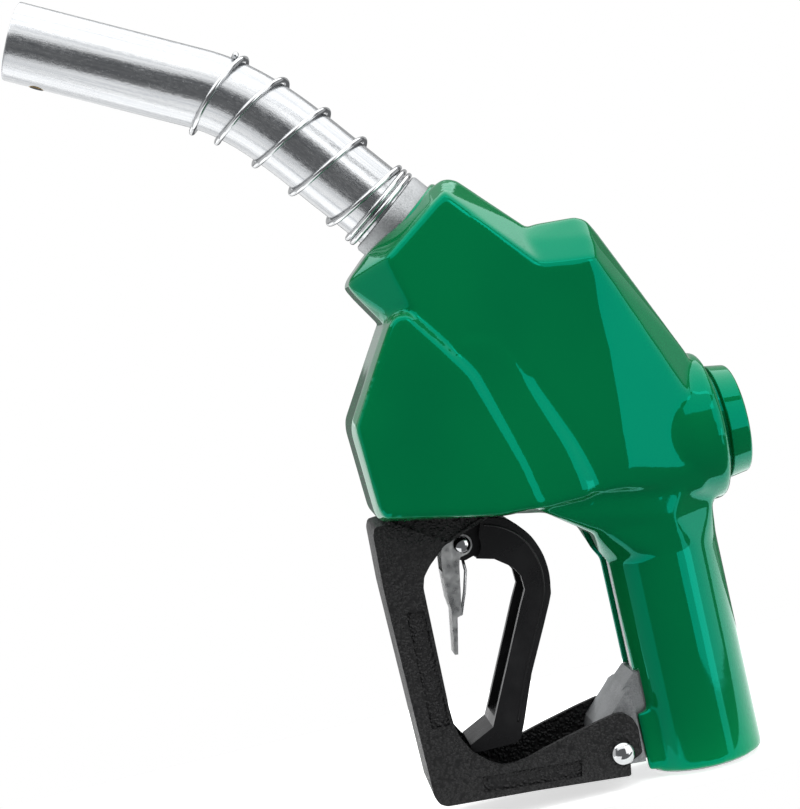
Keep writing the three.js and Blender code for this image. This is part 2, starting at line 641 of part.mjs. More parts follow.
function addClip() {
  const ears = [-1, 1].map((way) => plate(CLIP_EAR, way > 0 ? 7.1 : -8.3, way > 0 ? 8.3 : -7.1));
  const clip = cut(
    join(...ears, slab(CLIP_BACK, 8.3), slab(CLIP_STRIP, 6)),
    crossPin(2.3, CLIP_RIVET, -9, 9),
  );
  addPiece("hold_open_clip", clip, "zincSteel");
  const rivet = turned(
    [[0, -9.9], [2.6, -9.9], [3.4, -8.7], [2, -8.6], [2, 8.6], [3.4, 8.7], [2.6, 9.9], [0, 9.9]],
    side(CLIP_RIVET), ALONG_Y, 14,
  );
  addPiece("clip_rivet", rivet, "chrome");
}

class ClipWire extends THREE.Curve {
  getPoint(t) {
    const path = [[-76.4, 96.2, 3], [-78, 88, 3.4], [-80.2, 80.4, 4]];
    const place = t * (path.length - 1);
    const i = Math.min(Math.floor(place), path.length - 2);
    const [a, b] = [path[i], path[i + 1]].map(([x, z, y]) => side([x, z], y));
    return a.lerp(b, place - i);
  }
}

function addClipSpring() {
  addPiece("clip_spring", sweep(new ClipWire(), 0.6, 6, 6), "stainless");
}

// ---- hand guard ----

const GUARD_OUTLINE = [
  [-106.5, 118.3], [-107.7, 115.5], [-108.4, 94.5], [-107.7, 64.7], [-107, 14.2], [-105.6, 11],
  [-103, 9.5], [-69, 7.3], [-32.3, 4.1], [-31.5, 9.3], [-26.3, 11.6], [-25.8, 21.7], [-27.2, 25.6],
  [-30.2, 28.2], [-33.9, 28.4], [-42.1, 26.8], [-58.2, 23.1], [-69.7, 20.1], [-74.9, 19.3],
  [-79.1, 19.7], [-83.7, 22.2], [-89, 27.1], [-92.6, 33.7], [-93.8, 39.1], [-94.2, 45.6],
  [-93.9, 72.1], [-93.6, 92], [-92.4, 96.1], [-89.4, 99.7], [-82.6, 105.7], [-65.5, 111.7],
  [-61.4, 113.1], [-62, 132], [-70, 138], [-100.4, 138], [-100.4, 118.8],
];
// Inside of the channel: everything on the lever's side of the guard's outer wall.
const GUARD_CHANNEL = [
  [-97.8, 140], [-97.8, 116], [-104.9, 114], [-105.8, 94.5], [-105.1, 64.7], [-104.4, 14.8],
  [-102.6, 12.2], [-69, 9.9], [-20, 6.2], [-20, 140],
];
const LEG_PANEL = [[-102.1, 84.3], [-95.2, 83.7], [-95.2, 39.3], [-102.4, 39.3]];
const RAIL_PANEL = [[-88.3, 11.2], [-50.7, 8.4], [-49.6, 14.5], [-87.6, 17.3]];

function addGuard() {
  const panelDepth = 0.6;
  const panels = [-1, 1].flatMap((way) =>
    [LEG_PANEL, RAIL_PANEL].map((outline) =>
      way > 0
        ? plate(outline, GUARD_HALF_WIDTH - panelDepth, GUARD_HALF_WIDTH + 1)
        : plate(outline, -GUARD_HALF_WIDTH - 1, panelDepth - GUARD_HALF_WIDTH),
    ),
  );
  const guard = cut(
    slab(GUARD_OUTLINE, GUARD_HALF_WIDTH),
    slab(GUARD_CHANNEL, GUARD_HALF_WIDTH - GUARD_WALL),
    ...panels,
    crossPin(2.8, GUARD_SCREW, -21, 21),
    crossPin(2.8, GUARD_RIVET, -21, 21),
  );
  addPiece("hand_guard", guard, "blackNylon");
  const rivet = turned(
    [
      [0, -22.6], [2.8, -22], [4.2, -21], [4.7, -20.3], [2.5, -20.2], [2.5, 20.2], [4.7, 20.3],
      [4.2, 21], [2.8, 22], [0, 22.6],
    ],
    side(GUARD_RIVET), ALONG_Y, 16,
  );
  addPiece("guard_rivet", rivet, "chrome");
  const screw = turned(
    [[0, -23], [4.4, -23], [4.4, -20.3], [2.5, -20.3], [2.5, 20.3], [4.4, 20.3], [4.4, 22], [0, 22]],
    side(GUARD_SCREW), ALONG_Y, 12,
  );
  addPiece("guard_front_screw", screw, "stainless");
}

addCover();
addBodyCasting();
addInlet();
addSpout();
addAnchorSpring();
addVent();
addCheckValve();
addMainValve();
addValveCap();
addTripPlunger();
addLatch();
addVacuumCap();
addLever();
addClip();
addClipSpring();
addGuard();

export default nozzle;
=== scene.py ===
import json
import math

import bmesh
import bpy
from mathutils import Matrix, Vector


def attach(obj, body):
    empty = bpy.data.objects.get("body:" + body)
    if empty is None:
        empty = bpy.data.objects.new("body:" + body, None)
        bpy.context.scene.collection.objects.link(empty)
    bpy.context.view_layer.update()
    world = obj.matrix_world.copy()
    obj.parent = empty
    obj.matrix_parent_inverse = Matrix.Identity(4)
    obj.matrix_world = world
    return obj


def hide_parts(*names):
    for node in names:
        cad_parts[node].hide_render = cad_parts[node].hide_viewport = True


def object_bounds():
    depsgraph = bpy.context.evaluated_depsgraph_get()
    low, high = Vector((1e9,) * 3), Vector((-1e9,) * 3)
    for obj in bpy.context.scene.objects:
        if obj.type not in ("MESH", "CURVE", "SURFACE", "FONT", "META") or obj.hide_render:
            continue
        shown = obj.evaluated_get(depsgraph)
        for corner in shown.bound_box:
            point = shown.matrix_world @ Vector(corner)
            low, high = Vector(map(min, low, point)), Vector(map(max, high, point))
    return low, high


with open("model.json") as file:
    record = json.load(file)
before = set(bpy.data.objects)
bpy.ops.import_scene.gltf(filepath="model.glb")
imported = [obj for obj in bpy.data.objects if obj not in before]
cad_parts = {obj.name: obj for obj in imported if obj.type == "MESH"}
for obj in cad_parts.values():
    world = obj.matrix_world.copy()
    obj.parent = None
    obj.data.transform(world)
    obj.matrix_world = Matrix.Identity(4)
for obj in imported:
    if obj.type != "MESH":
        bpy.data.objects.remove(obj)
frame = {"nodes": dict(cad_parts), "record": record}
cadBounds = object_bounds()
scene = bpy.context.scene
mm = 0.001
alongX, alongY, alongZ = Vector((1, 0, 0)), Vector((0, 1, 0)), Vector((0, 0, 1))
print("frame loaded:", len(frame["nodes"]), "nodes")


def at(x, z, y=0.0):
    return Vector((x, y, z)) * mm  # a point of the side view, in millimetres


def leaning(degrees):  # a direction in the side view, leaning from up towards the spout
    return Vector((-math.sin(math.radians(degrees)), 0, math.cos(math.radians(degrees))))


# Camera, floor and lights

cameraSetting = {
    "place": (-0.14256, -0.74158, 0.19457),
    "azimuth": 4.403,  # degrees to the right of +Y
    "elevation": -2.644,
    "roll": 12.767,
    "lens": 86.37, "sensor": 36, "near": 0.01, "far": 50,
}


def makeCamera():
    data = bpy.data.cameras.new("camera")
    data.sensor_width, data.lens = cameraSetting["sensor"], cameraSetting["lens"]
    data.clip_start, data.clip_end = cameraSetting["near"], cameraSetting["far"]
    thing = bpy.data.objects.new("camera", data)
    scene.collection.objects.link(thing)
    turn = Matrix.Rotation(-math.radians(cameraSetting["azimuth"]), 4, "Z")
    tilt = Matrix.Rotation(math.radians(90 + cameraSetting["elevation"]), 4, "X")
    roll = Matrix.Rotation(-math.radians(cameraSetting["roll"]), 4, "Z")
    thing.matrix_world = Matrix.Translation(cameraSetting["place"]) @ turn @ tilt @ roll
    scene.camera = thing


studio = {
    "aroundObject": 0.17, "aroundColor": (0.95, 0.97, 1, 1),  # what the object mirrors where there is no card
    "background": 1.0, "backgroundColor": (1, 1, 1, 1),
    "floorDrop": 1.0,  # mm below the handle's end
    "floorHalfSize": (0.7, 0.13), "floorBehind": 0.095,
    "floorGlow": 0.62, "floorColor": (0.90, 0.90, 0.90, 1),
    "cards": [
        # name, place, aimed at, size, brightness
        ("topCard", (-0.05, 0.10, 1.15), (-0.05, 0.10, 0.2), (2.6, 1.8), 1.9),
        ("frontTopCard", (-0.05, -0.95, 0.95), (-0.05, 0, 0.2), (1.6, 0.7), 1.3),
        ("rightCard", (0.85, -0.71, 0.34), (0, 0, 0.34), (1.2, 1.10), 1.6),
        ("lowStrip", (0.806, -0.82, -0.20), (0, 0, -0.20), (0.26, 0.42), 1.5),
        ("farRightCard", (1.10, 0.45, 0.30), (0, 0, 0.15), (0.8, 0.9), 0.35),
        ("leftCard", (-1.15, 0.48, 0.15), (0, 0.48, 0.15), (2.66, 1.3), 0.55),
        ("belowCard", (-0.5, -0.38, -0.25), (-0.5, -0.37, 0.2), (0.7, 0.63), 1.2),
        ("lowBackCard", (-0.60, 0.75, -0.10), (-0.2, 0, 0.25), (0.8, 0.8), 1.0),
        ("backCard", (0.1, 1.2, 0.7), (0, 0, 0.2), (1.6, 1.0), 0.35),
    ],
}


def makeStudio():
    world = bpy.data.worlds.new("studio")
    scene.world = world
    world.use_nodes = True
    tree = world.node_tree
    tree.nodes.clear()
    seen, mirrored = (tree.nodes.new("ShaderNodeBackground") for _ in range(2))
    seen.inputs["Color"].default_value = studio["backgroundColor"]
    seen.inputs["Strength"].default_value = studio["background"]
    mirrored.inputs["Color"].default_value = studio["aroundColor"]
    mirrored.inputs["Strength"].default_value = studio["aroundObject"]
    ray = tree.nodes.new("ShaderNodeLightPath")
    both = tree.nodes.new("ShaderNodeMixShader")
    out = tree.nodes.new("ShaderNodeOutputWorld")
    tree.links.new(ray.outputs["Is Camera Ray"], both.inputs[0])
    tree.links.new(mirrored.outputs[0], both.inputs[1])
    tree.links.new(seen.outputs[0], both.inputs[2])
    tree.links.new(both.outputs[0], out.inputs["Surface"])

    for name, place, target, size, brightness in studio["cards"]:
        light = bpy.data.lights.new(name, "AREA")
        light.shape = "RECTANGLE"
        light.size, light.size_y = size
        light.energy = brightness * math.pi * size[0] * size[1]
        card = bpy.data.objects.new(name, light)
        scene.collection.objects.link(card)
        aim = Vector(target) - Vector(place)
        card.matrix_world = Matrix.Translation(place) @ aim.to_track_quat("-Z", "Y").to_matrix().to_4x4()

    scene.view_settings.view_transform = "Standard"
    scene.view_settings.look = "None"


# Shader tools

class Value:  # a number that changes over the surface
    def __init__(self, finish, socket):
        self.finish, self.socket = finish, socket

    def worked(self, operation, first, second):
        return self.finish.node("ShaderNodeMath", {"operation": operation}, {0: first, 1: second})

    def __add__(self, other):
        return self.worked("ADD", self, other)

    def __radd__(self, other):
        return self.worked("ADD", other, self)

    def __sub__(self, other):
        return self.worked("SUBTRACT", self, other)

    def __rsub__(self, other):
        return self.worked("SUBTRACT", other, self)

    def __mul__(self, other):
        return self.worked("MULTIPLY", self, other)

    def __rmul__(self, other):
        return self.worked("MULTIPLY", other, self)


class Finish:
    def __init__(self, name, steady=None):
        self.material = bpy.data.materials.new(name)
        self.material.use_nodes = True
        self.tree = self.material.node_tree
        self.tree.nodes.clear()
        self.shader = self.tree.nodes.new("ShaderNodeBsdfPrincipled")
        out = self.tree.nodes.new("ShaderNodeOutputMaterial")
        self.tree.links.new(self.shader.outputs[0], out.inputs["Surface"])
        for socket, value in (steady or {}).items():
            self.shader.inputs[socket].default_value = value

    def node(self, kind, settings=None, sockets=None, output=0):
        made = self.tree.nodes.new(kind)
        for name, value in (settings or {}).items():
            setattr(made, name, value)
        for name, value in (sockets or {}).items():
            socket = made.inputs[name]
            if isinstance(value, Value):
                self.tree.links.new(value.socket, socket)
            else:
                socket.default_value = value
        return Value(self, made.outputs[output])

    def feed(self, name, value):
        self.tree.links.new(value.socket, self.shader.inputs[name])

    def place(self, stretch=(1, 1, 1), attribute=None):
        if attribute:
            spot = self.node("ShaderNodeAttribute", {"attribute_name": attribute}, output="Vector")
        else:
            spot = self.node("ShaderNodeTexCoord", output="Object")
        return self.node("ShaderNodeMapping", sockets={"Vector": spot, "Scale": stretch})

    def noise(self, spot, scale, detail=3.0, roughness=0.5):
        return self.node("ShaderNodeTexNoise", sockets={
            "Vector": spot, "Scale": scale, "Detail": detail, "Roughness": roughness})

    def shifted(self, spot, scale, reach):  # the place moved about by a noise
        noise = self.node("ShaderNodeTexNoise", sockets={"Vector": spot, "Scale": scale}, output="Color")
        push = self.node("ShaderNodeVectorMath", {"operation": "SCALE"}, {0: noise, "Scale": reach})
        return self.node("ShaderNodeVectorMath", {"operation": "ADD"}, {0: spot, 1: push})

    def between(self, value, low, high):  # 0 up to low, 1 from high on
        return self.node("ShaderNodeMapRange", {"interpolation_type": "SMOOTHSTEP"}, {
            "Value": value, "From Min": low, "From Max": high})

    def blend(self, first, second, factor):
        return self.node("ShaderNodeMix", {"data_type": "RGBA"}, {0: factor, 6: first, 7: second}, output=2)

    def bump(self, height, strength, depth, below=None):
        under = {"Normal": below} if below else {}
        return self.node("ShaderNodeBump", sockets={
            "Height": height, "Strength": strength, "Distance": depth, **under})


def tone(red, green, blue):
    return (red, green, blue, 1)


# Finishes

coverVinyl = {
    "green": tone(0.0012, 0.165, 0.044), "deepGreen": tone(0.001, 0.145, 0.040),
    "gloss": 0.045, "smear": 0.05, "mirrorTint": tone(0.0, 1.0, 0.80), "shine": 1.0, "waviness": 0.10,
}


def makeCoverVinyl():
    f = Finish("coverVinyl", {
        "IOR": 1.5, "Specular Tint": coverVinyl["mirrorTint"], "Specular IOR Level": coverVinyl["shine"]})
    spot = f.place()
    cloud = f.noise(spot, 14, 2)
    smear = f.noise(f.place((1, 1, 3)), 60, 5, 0.65)
    f.feed("Base Color", f.blend(coverVinyl["deepGreen"], coverVinyl["green"], f.between(cloud, 0.35, 0.65)))
    f.feed("Roughness", coverVinyl["gloss"] + coverVinyl["smear"] * f.between(smear, 0.45, 0.8))
    wave = f.bump(f.noise(spot, 26, 1), coverVinyl["waviness"], 0.002)
    f.feed("Normal", f.bump(f.noise(spot, 420, 2), 0.03, 0.0002, wave))
    return f.material


spoutAluminium = {
    "light": tone(0.56, 0.57, 0.58), "dull": tone(0.40, 0.415, 0.435), "gloss": 0.16, "haze": 0.18,
}


def makeSpoutAluminium():
    f = Finish("spoutAluminium", {"Metallic": 1.0})
    streak = f.noise(f.place((7, 700, 700), attribute="straight"), 1.0, 4, 0.6)
    grain = f.noise(f.place((500, 1500, 1500), attribute="straight"), 1.0, 3, 0.6)
    patch = f.noise(f.place((30, 60, 60), attribute="straight"), 1.0, 3)
    bright = f.between(streak + grain * 0.4, 0.4, 0.85)
    hazy = f.between(grain * 0.6 + patch * 0.4, 0.3, 0.75)
    f.feed("Base Color", f.blend(spoutAluminium["dull"], spoutAluminium["light"], bright))
    f.feed("Roughness", spoutAluminium["gloss"] + spoutAluminium["haze"] * hazy)
    f.feed("Normal", f.bump(streak * 0.6 + grain * 0.6, 0.25, 0.0002))
    return f.material


castAluminium = {"light": tone(0.42, 0.43, 0.44), "dull": tone(0.27, 0.28, 0.285), "gloss": 0.36}


def makeCastAluminium():
    f = Finish("castAluminium", {"Metallic": 1.0})
    spot = f.place()
    pits = f.noise(spot, 1500, 3, 0.6)
    patch = f.noise(spot, 90, 4)
    bright = f.between(patch * 0.5 + pits * 0.5, 0.3, 0.6)
    f.feed("Base Color", f.blend(castAluminium["dull"], castAluminium["light"], bright))
    f.feed("Roughness", castAluminium["gloss"] + 0.2 * patch)
    f.feed("Normal", f.bump(pits, 0.35, 0.0003))
    return f.material


chromeWire = {"dull": tone(0.50, 0.51, 0.52), "light": tone(0.68, 0.69, 0.70), "gloss": 0.06, "haze": 0.12}


def makeChromeWire():
    f = Finish("chromeWire", {"Metallic": 1.0})
    spot = f.place()
    haze = f.noise(spot, 260, 4)
    f.feed("Base Color", f.blend(chromeWire["dull"], chromeWire["light"], haze))
    f.feed("Roughness", chromeWire["gloss"] + chromeWire["haze"] * f.between(haze, 0.45, 0.75))
    f.feed("Normal", f.bump(f.noise(spot, 900, 2), 0.05, 0.0002))
    return f.material


zincSteel = {"dull": tone(0.48, 0.49, 0.49), "light": tone(0.80, 0.81, 0.80), "gloss": 0.22, "haze": 0.25}


def makeZincSteel():
    f = Finish("zincSteel", {"Metallic": 1.0})
    spot = f.place()
    spangle = f.node("ShaderNodeTexVoronoi", sockets={"Vector": spot, "Scale": 420})
    patch = f.noise(spot, 160, 5, 0.6)
    f.feed("Base Color", f.blend(zincSteel["dull"], zincSteel["light"], f.between(patch, 0.3, 0.7)))
    f.feed("Roughness", zincSteel["gloss"] + zincSteel["haze"] * f.between(patch + spangle * 0.3, 0.4, 0.9))
    f.feed("Normal", f.bump(patch, 0.12, 0.0004))
    return f.material


guardNylon = {
    "black": tone(0.0045, 0.0045, 0.005), "worn": tone(0.014, 0.014, 0.0155), "gloss": 0.40, "patchy": 0.22,
    "grain": 820, "grainDepth": 0.0006, "wander": 500, "shine": 0.38,
}


def makeGuardNylon():
    f = Finish("guardNylon", {"Specular IOR Level": guardNylon["shine"]})
    spot = f.place()
    wander = f.noise(spot, guardNylon["wander"], 2)
    pebble = f.node("ShaderNodeTexVoronoi", {"feature": "SMOOTH_F1"}, {
        "Vector": f.shifted(spot, guardNylon["wander"], 0.0012),
        "Scale": guardNylon["grain"], "Smoothness": 0.4})
    hills = 1 - f.between(pebble, 0.0, 0.75)
    patch = f.noise(spot, 60, 4)
    rubbed = f.between(hills * 0.6 + patch * 0.5, 0.5, 0.95)
    f.feed("Base Color", f.blend(guardNylon["black"], guardNylon["worn"], rubbed))
    f.feed("Roughness", guardNylon["gloss"] + guardNylon["patchy"] * patch)
    f.feed("Normal", f.bump(hills + wander * 0.3, 1.0, guardNylon["grainDepth"]))
    return f.material


leverNylon = {
    "black": tone(0.004, 0.004, 0.0045), "worn": tone(0.009, 0.009, 0.010),
    "gloss": 0.26, "haze": 0.2, "shine": 0.42,
}


def makeLeverNylon():
    f = Finish("leverNylon", {"Specular IOR Level": leverNylon["shine"]})
    spot = f.place()
    patch = f.noise(spot, 50, 5, 0.6)
    fine = f.noise(spot, 1800, 2)
    f.feed("Base Color", f.blend(leverNylon["black"], leverNylon["worn"], patch))
    f.feed("Roughness", leverNylon["gloss"] + leverNylon["haze"] * f.between(patch, 0.35, 0.75))
    f.feed("Normal", f.bump(fine, 0.15, 0.0002))
    return f.material


turnedMetal = {
    "turnedBrass": {"dull": tone(0.55, 0.38, 0.16), "light": tone(0.74, 0.56, 0.27), "gloss": 0.22},
    "turnedSteel": {"dull": tone(0.55, 0.56, 0.57), "light": tone(0.78, 0.79, 0.80), "gloss": 0.20},
}


def makeTurnedMetal(name):
    f = Finish(name, {"Metallic": 1.0})
    metal = turnedMetal[name]
    spot = f.place()
    line = f.noise(f.place((1, 0.15, 1)), 1400, 2)
    patch = f.noise(spot, 150, 4)
    f.feed("Base Color", f.blend(metal["dull"], metal["light"], f.between(patch, 0.3, 0.7)))
    f.feed("Roughness", metal["gloss"] + 0.18 * patch)
    f.feed("Normal", f.bump(line, 0.12, 0.0002))
    return f.material


blackRubber = {"black": tone(0.010, 0.010, 0.010), "grey": tone(0.025, 0.025, 0.024), "gloss": 0.6}


def makeRubber():
    f = Finish("blackRubber")
    spot = f.place()
    patch = f.noise(spot, 200, 4)
    f.feed("Base Color", f.blend(blackRubber["black"], blackRubber["grey"], patch))
    f.feed("Roughness", blackRubber["gloss"] + 0.25 * patch)
    f.feed("Normal", f.bump(f.noise(spot, 1500, 2), 0.2, 0.0002))
    return f.material


def makeFloorPaper():
    f = Finish("floorPaper", {
        "Base Color": studio["floorColor"], "Roughness": 0.9,
        "Emission Color": tone(1, 1, 1), "Emission Strength": studio["floorGlow"]})
    f.feed("Normal", f.bump(f.noise(f.place(), 300, 3), 0.05, 0.0003))
    return f.material


finishes = {  # by the record's material slots
    "cover_vinyl": makeCoverVinyl(),
    "cast_aluminium": makeCastAluminium(),
    "spout_aluminium": makeSpoutAluminium(),
    "chrome_wire": makeChromeWire(),
    "zinc_steel": makeZincSteel(),
    "guard_nylon": makeGuardNylon(),
    "lever_nylon": makeLeverNylon(),
    "brass": makeTurnedMetal("turnedBrass"),
    "stainless": makeTurnedMetal("turnedSteel"),
    "black_rubber": makeRubber(),
}
print("finishes made:", len(finishes))


# Mesh tools

sharpest = math.radians(35)  # edges that turn more than this are rounded
merging = 2e-6  # points nearer than this become one


def pieceFrom(shape, name, body, slot, stands=(), rounding=0.0, roundSteps=3, wall=0.0):
    # stands: the CAD nodes that it takes the place of; rounding and wall in millimetres
    for face in shape.faces:
        face.smooth = True
    mesh = bpy.data.meshes.new(name)
    shape.to_mesh(mesh)
    shape.free()
    piece = bpy.data.objects.new(name, mesh)
    scene.collection.objects.link(piece)
    mesh.materials.append(finishes[slot])
    if wall:
        thick = piece.modifiers.new("wall", "SOLIDIFY")
        thick.thickness, thick.offset, thick.use_even_offset = wall * mm, -1, True
    if rounding:
        soft = piece.modifiers.new("edges", "BEVEL")
        soft.width, soft.segments = rounding * mm, roundSteps
        soft.limit_method, soft.angle_limit = "ANGLE", sharpest
        soft.harden_normals = True
    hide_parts(*stands)
    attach(piece, body)
    return piece


def taken(holder):  # the mesh that an object's modifiers leave, as a bmesh
    result = bmesh.new()
    result.from_object(holder, bpy.context.evaluated_depsgraph_get())
    return result


def held(shape):  # a bmesh on an object, for modifiers
    mesh = bpy.data.meshes.new("blank")
    shape.to_mesh(mesh)
    shape.free()
    holder = bpy.data.objects.new("blank", mesh)
    scene.collection.objects.link(holder)
    return holder


def combined(base, tool, operation):  # "DIFFERENCE" or "UNION"
    first, second = held(base), held(tool)
    joint = first.modifiers.new("joint", "BOOLEAN")
    joint.operation, joint.solver, joint.object = operation, "EXACT", second
    result = taken(first)
    for holder in (first, second):
        bpy.data.objects.remove(holder)
    bmesh.ops.remove_doubles(result, verts=result.verts, dist=merging)
    bmesh.ops.dissolve_limit(result, angle_limit=math.radians(0.6), verts=result.verts, edges=result.edges)
    return result


def gathered(*shapes):  # several shapes as one bmesh
    everything = bmesh.new()
    for shape in shapes:
        mesh = bpy.data.meshes.new("blank")
        shape.to_mesh(mesh)
        shape.free()
        everything.from_mesh(mesh)
        bpy.data.meshes.remove(mesh)
    return everything


def slab(outline, fromY, toY, corner=0.0):  # a side-view outline given its width, with rounded corners
    shape = bmesh.new()
    corners = [shape.verts.new(at(x, z, fromY)) for x, z in outline]
    shape.faces.new(corners)
    if corner:
        bmesh.ops.bevel(shape, geom=corners, affect="VERTICES", offset=corner * mm, offset_type="OFFSET",
                        segments=4, profile=0.5, material=-1, clamp_overlap=True)
    made = bmesh.ops.extrude_face_region(shape, geom=shape.faces[:])["geom"]
    moved = [v for v in made if isinstance(v, bmesh.types.BMVert)]
    bmesh.ops.translate(shape, verts=moved, vec=(0, (toY - fromY) * mm, 0))
    bmesh.ops.remove_doubles(shape, verts=shape.verts, dist=1e-6)
    bmesh.ops.recalc_face_normals(shape, faces=shape.faces)
    return shape


def block(x, y, z):
    shape = bmesh.new()
    bmesh.ops.create_cube(shape, size=1)
    for way, (low, high) in enumerate((x, y, z)):
        for v in shape.verts:
            v.co[way] = (low if v.co[way] < 0 else high) * mm
    return shape


def along(place, axis):  # takes the Z axis to that line
    return Matrix.Translation(place) @ axis.to_track_quat("Z", "Y").to_matrix().to_4x4()


def turned(profile, place, axis, steps):  # [radius, height] points spun round an axis
    shape = bmesh.new()
    points = [shape.verts.new(Vector((r, 0, d)) * mm) for r, d in profile]
    pairs = list(zip(points, points[1:]))
    if profile[0][0] > 0:
        pairs.append((points[-1], points[0]))
    edges = [shape.edges.new(pair) for pair in pairs]
    bmesh.ops.spin(shape, geom=points + edges, cent=(0, 0, 0), axis=(0, 0, 1), dvec=(0, 0, 0),
                   angle=math.tau, steps=steps, use_merge=True, use_duplicate=False)
    bmesh.ops.remove_doubles(shape, verts=shape.verts, dist=1e-6)
    bmesh.ops.dissolve_degenerate(shape, edges=shape.edges, dist=1e-7)
    bmesh.ops.recalc_face_normals(shape, faces=shape.faces)
    shape.transform(along(place, axis))
    return shape


def wrapped(points, shape=None):  # the tight skin round [x, z, half width] points, and what shape holds
    shape = shape or bmesh.new()
    for x, z, half in points:
        for way in (-1, 1):
            shape.verts.new(at(x, z, way * half))
    left = bmesh.ops.convex_hull(shape, input=shape.verts)["geom_interior"]
    bmesh.ops.delete(shape, geom=[v for v in left if isinstance(v, bmesh.types.BMVert)], context="VERTS")
    bmesh.ops.recalc_face_normals(shape, faces=shape.faces)
    return shape


def drawn(stations, sides, closed=False, straightened=None):
    # a ring carried through a list of matrices; straightened gives each one's place along the piece
    shape = bmesh.new()
    layer = shape.verts.layers.float_vector.new("straight") if straightened else None
    ring = bmesh.ops.create_circle(shape, radius=1, segments=sides, cap_ends=not closed)["verts"]
    first = ring[:]
    bmesh.ops.transform(shape, matrix=stations[0], verts=ring)

    def note(verts, i):
        if layer:
            back = stations[i].inverted()
            for v in verts:
                spot = back @ v.co
                distance, radius = straightened[i]
                v[layer] = Vector((distance, spot.x * radius, spot.y * radius))

    note(ring, 0)
    edges = [e for e in shape.edges if e.verts[0] in ring and e.verts[1] in ring]
    for i in range(1, len(stations)):
        made = bmesh.ops.extrude_edge_only(shape, edges=edges)["geom"]
        ring = [g for g in made if isinstance(g, bmesh.types.BMVert)]
        edges = [g for g in made if isinstance(g, bmesh.types.BMEdge)]
        step = stations[i] @ stations[i - 1].inverted()
        bmesh.ops.transform(shape, matrix=step, verts=ring)
        note(ring, i)
    if closed:
        bmesh.ops.remove_doubles(shape, verts=first + ring, dist=merging)
    else:
        bmesh.ops.contextual_create(shape, geom=edges)
    bmesh.ops.recalc_face_normals(shape, faces=shape.faces)
    return shape


def wireStations(path, radius):  # matrices that carry a ring along a path without twisting
    stations, across = [], None
    for i, point in enumerate(path):
        ahead = (path[min(i + 1, len(path) - 1)] - path[max(i - 1, 0)]).normalized()
        if across is None:
            across = ahead.orthogonal()
        across = (across - ahead * across.dot(ahead)).normalized()
        up = ahead.cross(across)
        turn = Matrix((across, up, ahead)).transposed().to_4x4()
        stations.append(Matrix.Translation(point) @ turn @ Matrix.Diagonal((radius, radius, radius, 1)))
    return stations


# Spout

spout = {
    "collar": (-71, 228.5), "tip": (-197.8, 326), "baseAngle": 39, "tipAngle": 63.5,
    "root": -20, "straightBase": 30, "straightTip": 71, "radius": 15, "wall": 2, "lip": 0.5,
    "steps": 120, "sides": 96, "ventFromTip": 13,
    "ventRing": [(1.9, 12), (2.7, 12), (2.7, 14.7), (2.9, 15.0), (2.5, 15.05), (1.9, 15.0)],
    "ventPlug": [(0, 12.4), (1.85, 12.4), (2.65, 15.05), (2.5, 15.18), (0, 15.18)],
    "ferrule": [(15.1, -5.6), (17.6, -5.6), (17.6, 5.1), (17.0, 6.1), (15.1, 6.1)],
}
spoutAxis, tipAxis = leaning(spout["baseAngle"]), leaning(spout["tipAngle"])
collar, tip = at(*spout["collar"]), at(*spout["tip"])


def spoutLine():  # [distance, point] pairs of the middle line, root first
    bendStart = collar + spoutAxis * spout["straightBase"] * mm
    bendEnd = tip - tipAxis * spout["straightTip"] * mm
    reach = (bendEnd - bendStart).length / 3
    knots = [bendStart, bendStart + spoutAxis * reach, bendEnd - tipAxis * reach, bendEnd]
    points = [collar + spoutAxis * spout["root"] * mm]
    for i in range(61):
        t = i / 60
        shares = ((1 - t) ** 3, 3 * t * (1 - t) ** 2, 3 * t * t * (1 - t), t ** 3)
        points.append(sum((k * s for k, s in zip(knots, shares)), Vector()))
    points.append(tip)
    line, distance = [(spout["root"] * mm, points[0])], spout["root"] * mm
    for a, b in zip(points, points[1:]):
        distance += (b - a).length
        line.append((distance, b))
    return line


middleLine = spoutLine()
spoutLength = middleLine[-1][0]


def spoutPlace(distance):  # point and direction on the middle line, in metres
    for (a, p), (b, q) in zip(middleLine, middleLine[1:]):
        if distance <= b or b == spoutLength:
            break
    ahead = (q - p).normalized()
    if distance <= spout["straightBase"] * mm:
        ahead = spoutAxis
    elif distance >= spoutLength - spout["straightTip"] * mm:
        ahead = tipAxis
    return p.lerp(q, (distance - a) / (b - a)), ahead


def spoutStation(distance, radius):
    point, ahead = spoutPlace(distance)
    up = Vector((ahead.z, 0, -ahead.x))
    turn = Matrix((up, alongY, up.cross(alongY))).transposed().to_4x4()
    return Matrix.Translation(point) @ turn @ Matrix.Diagonal((radius * mm, radius * mm, mm, 1))


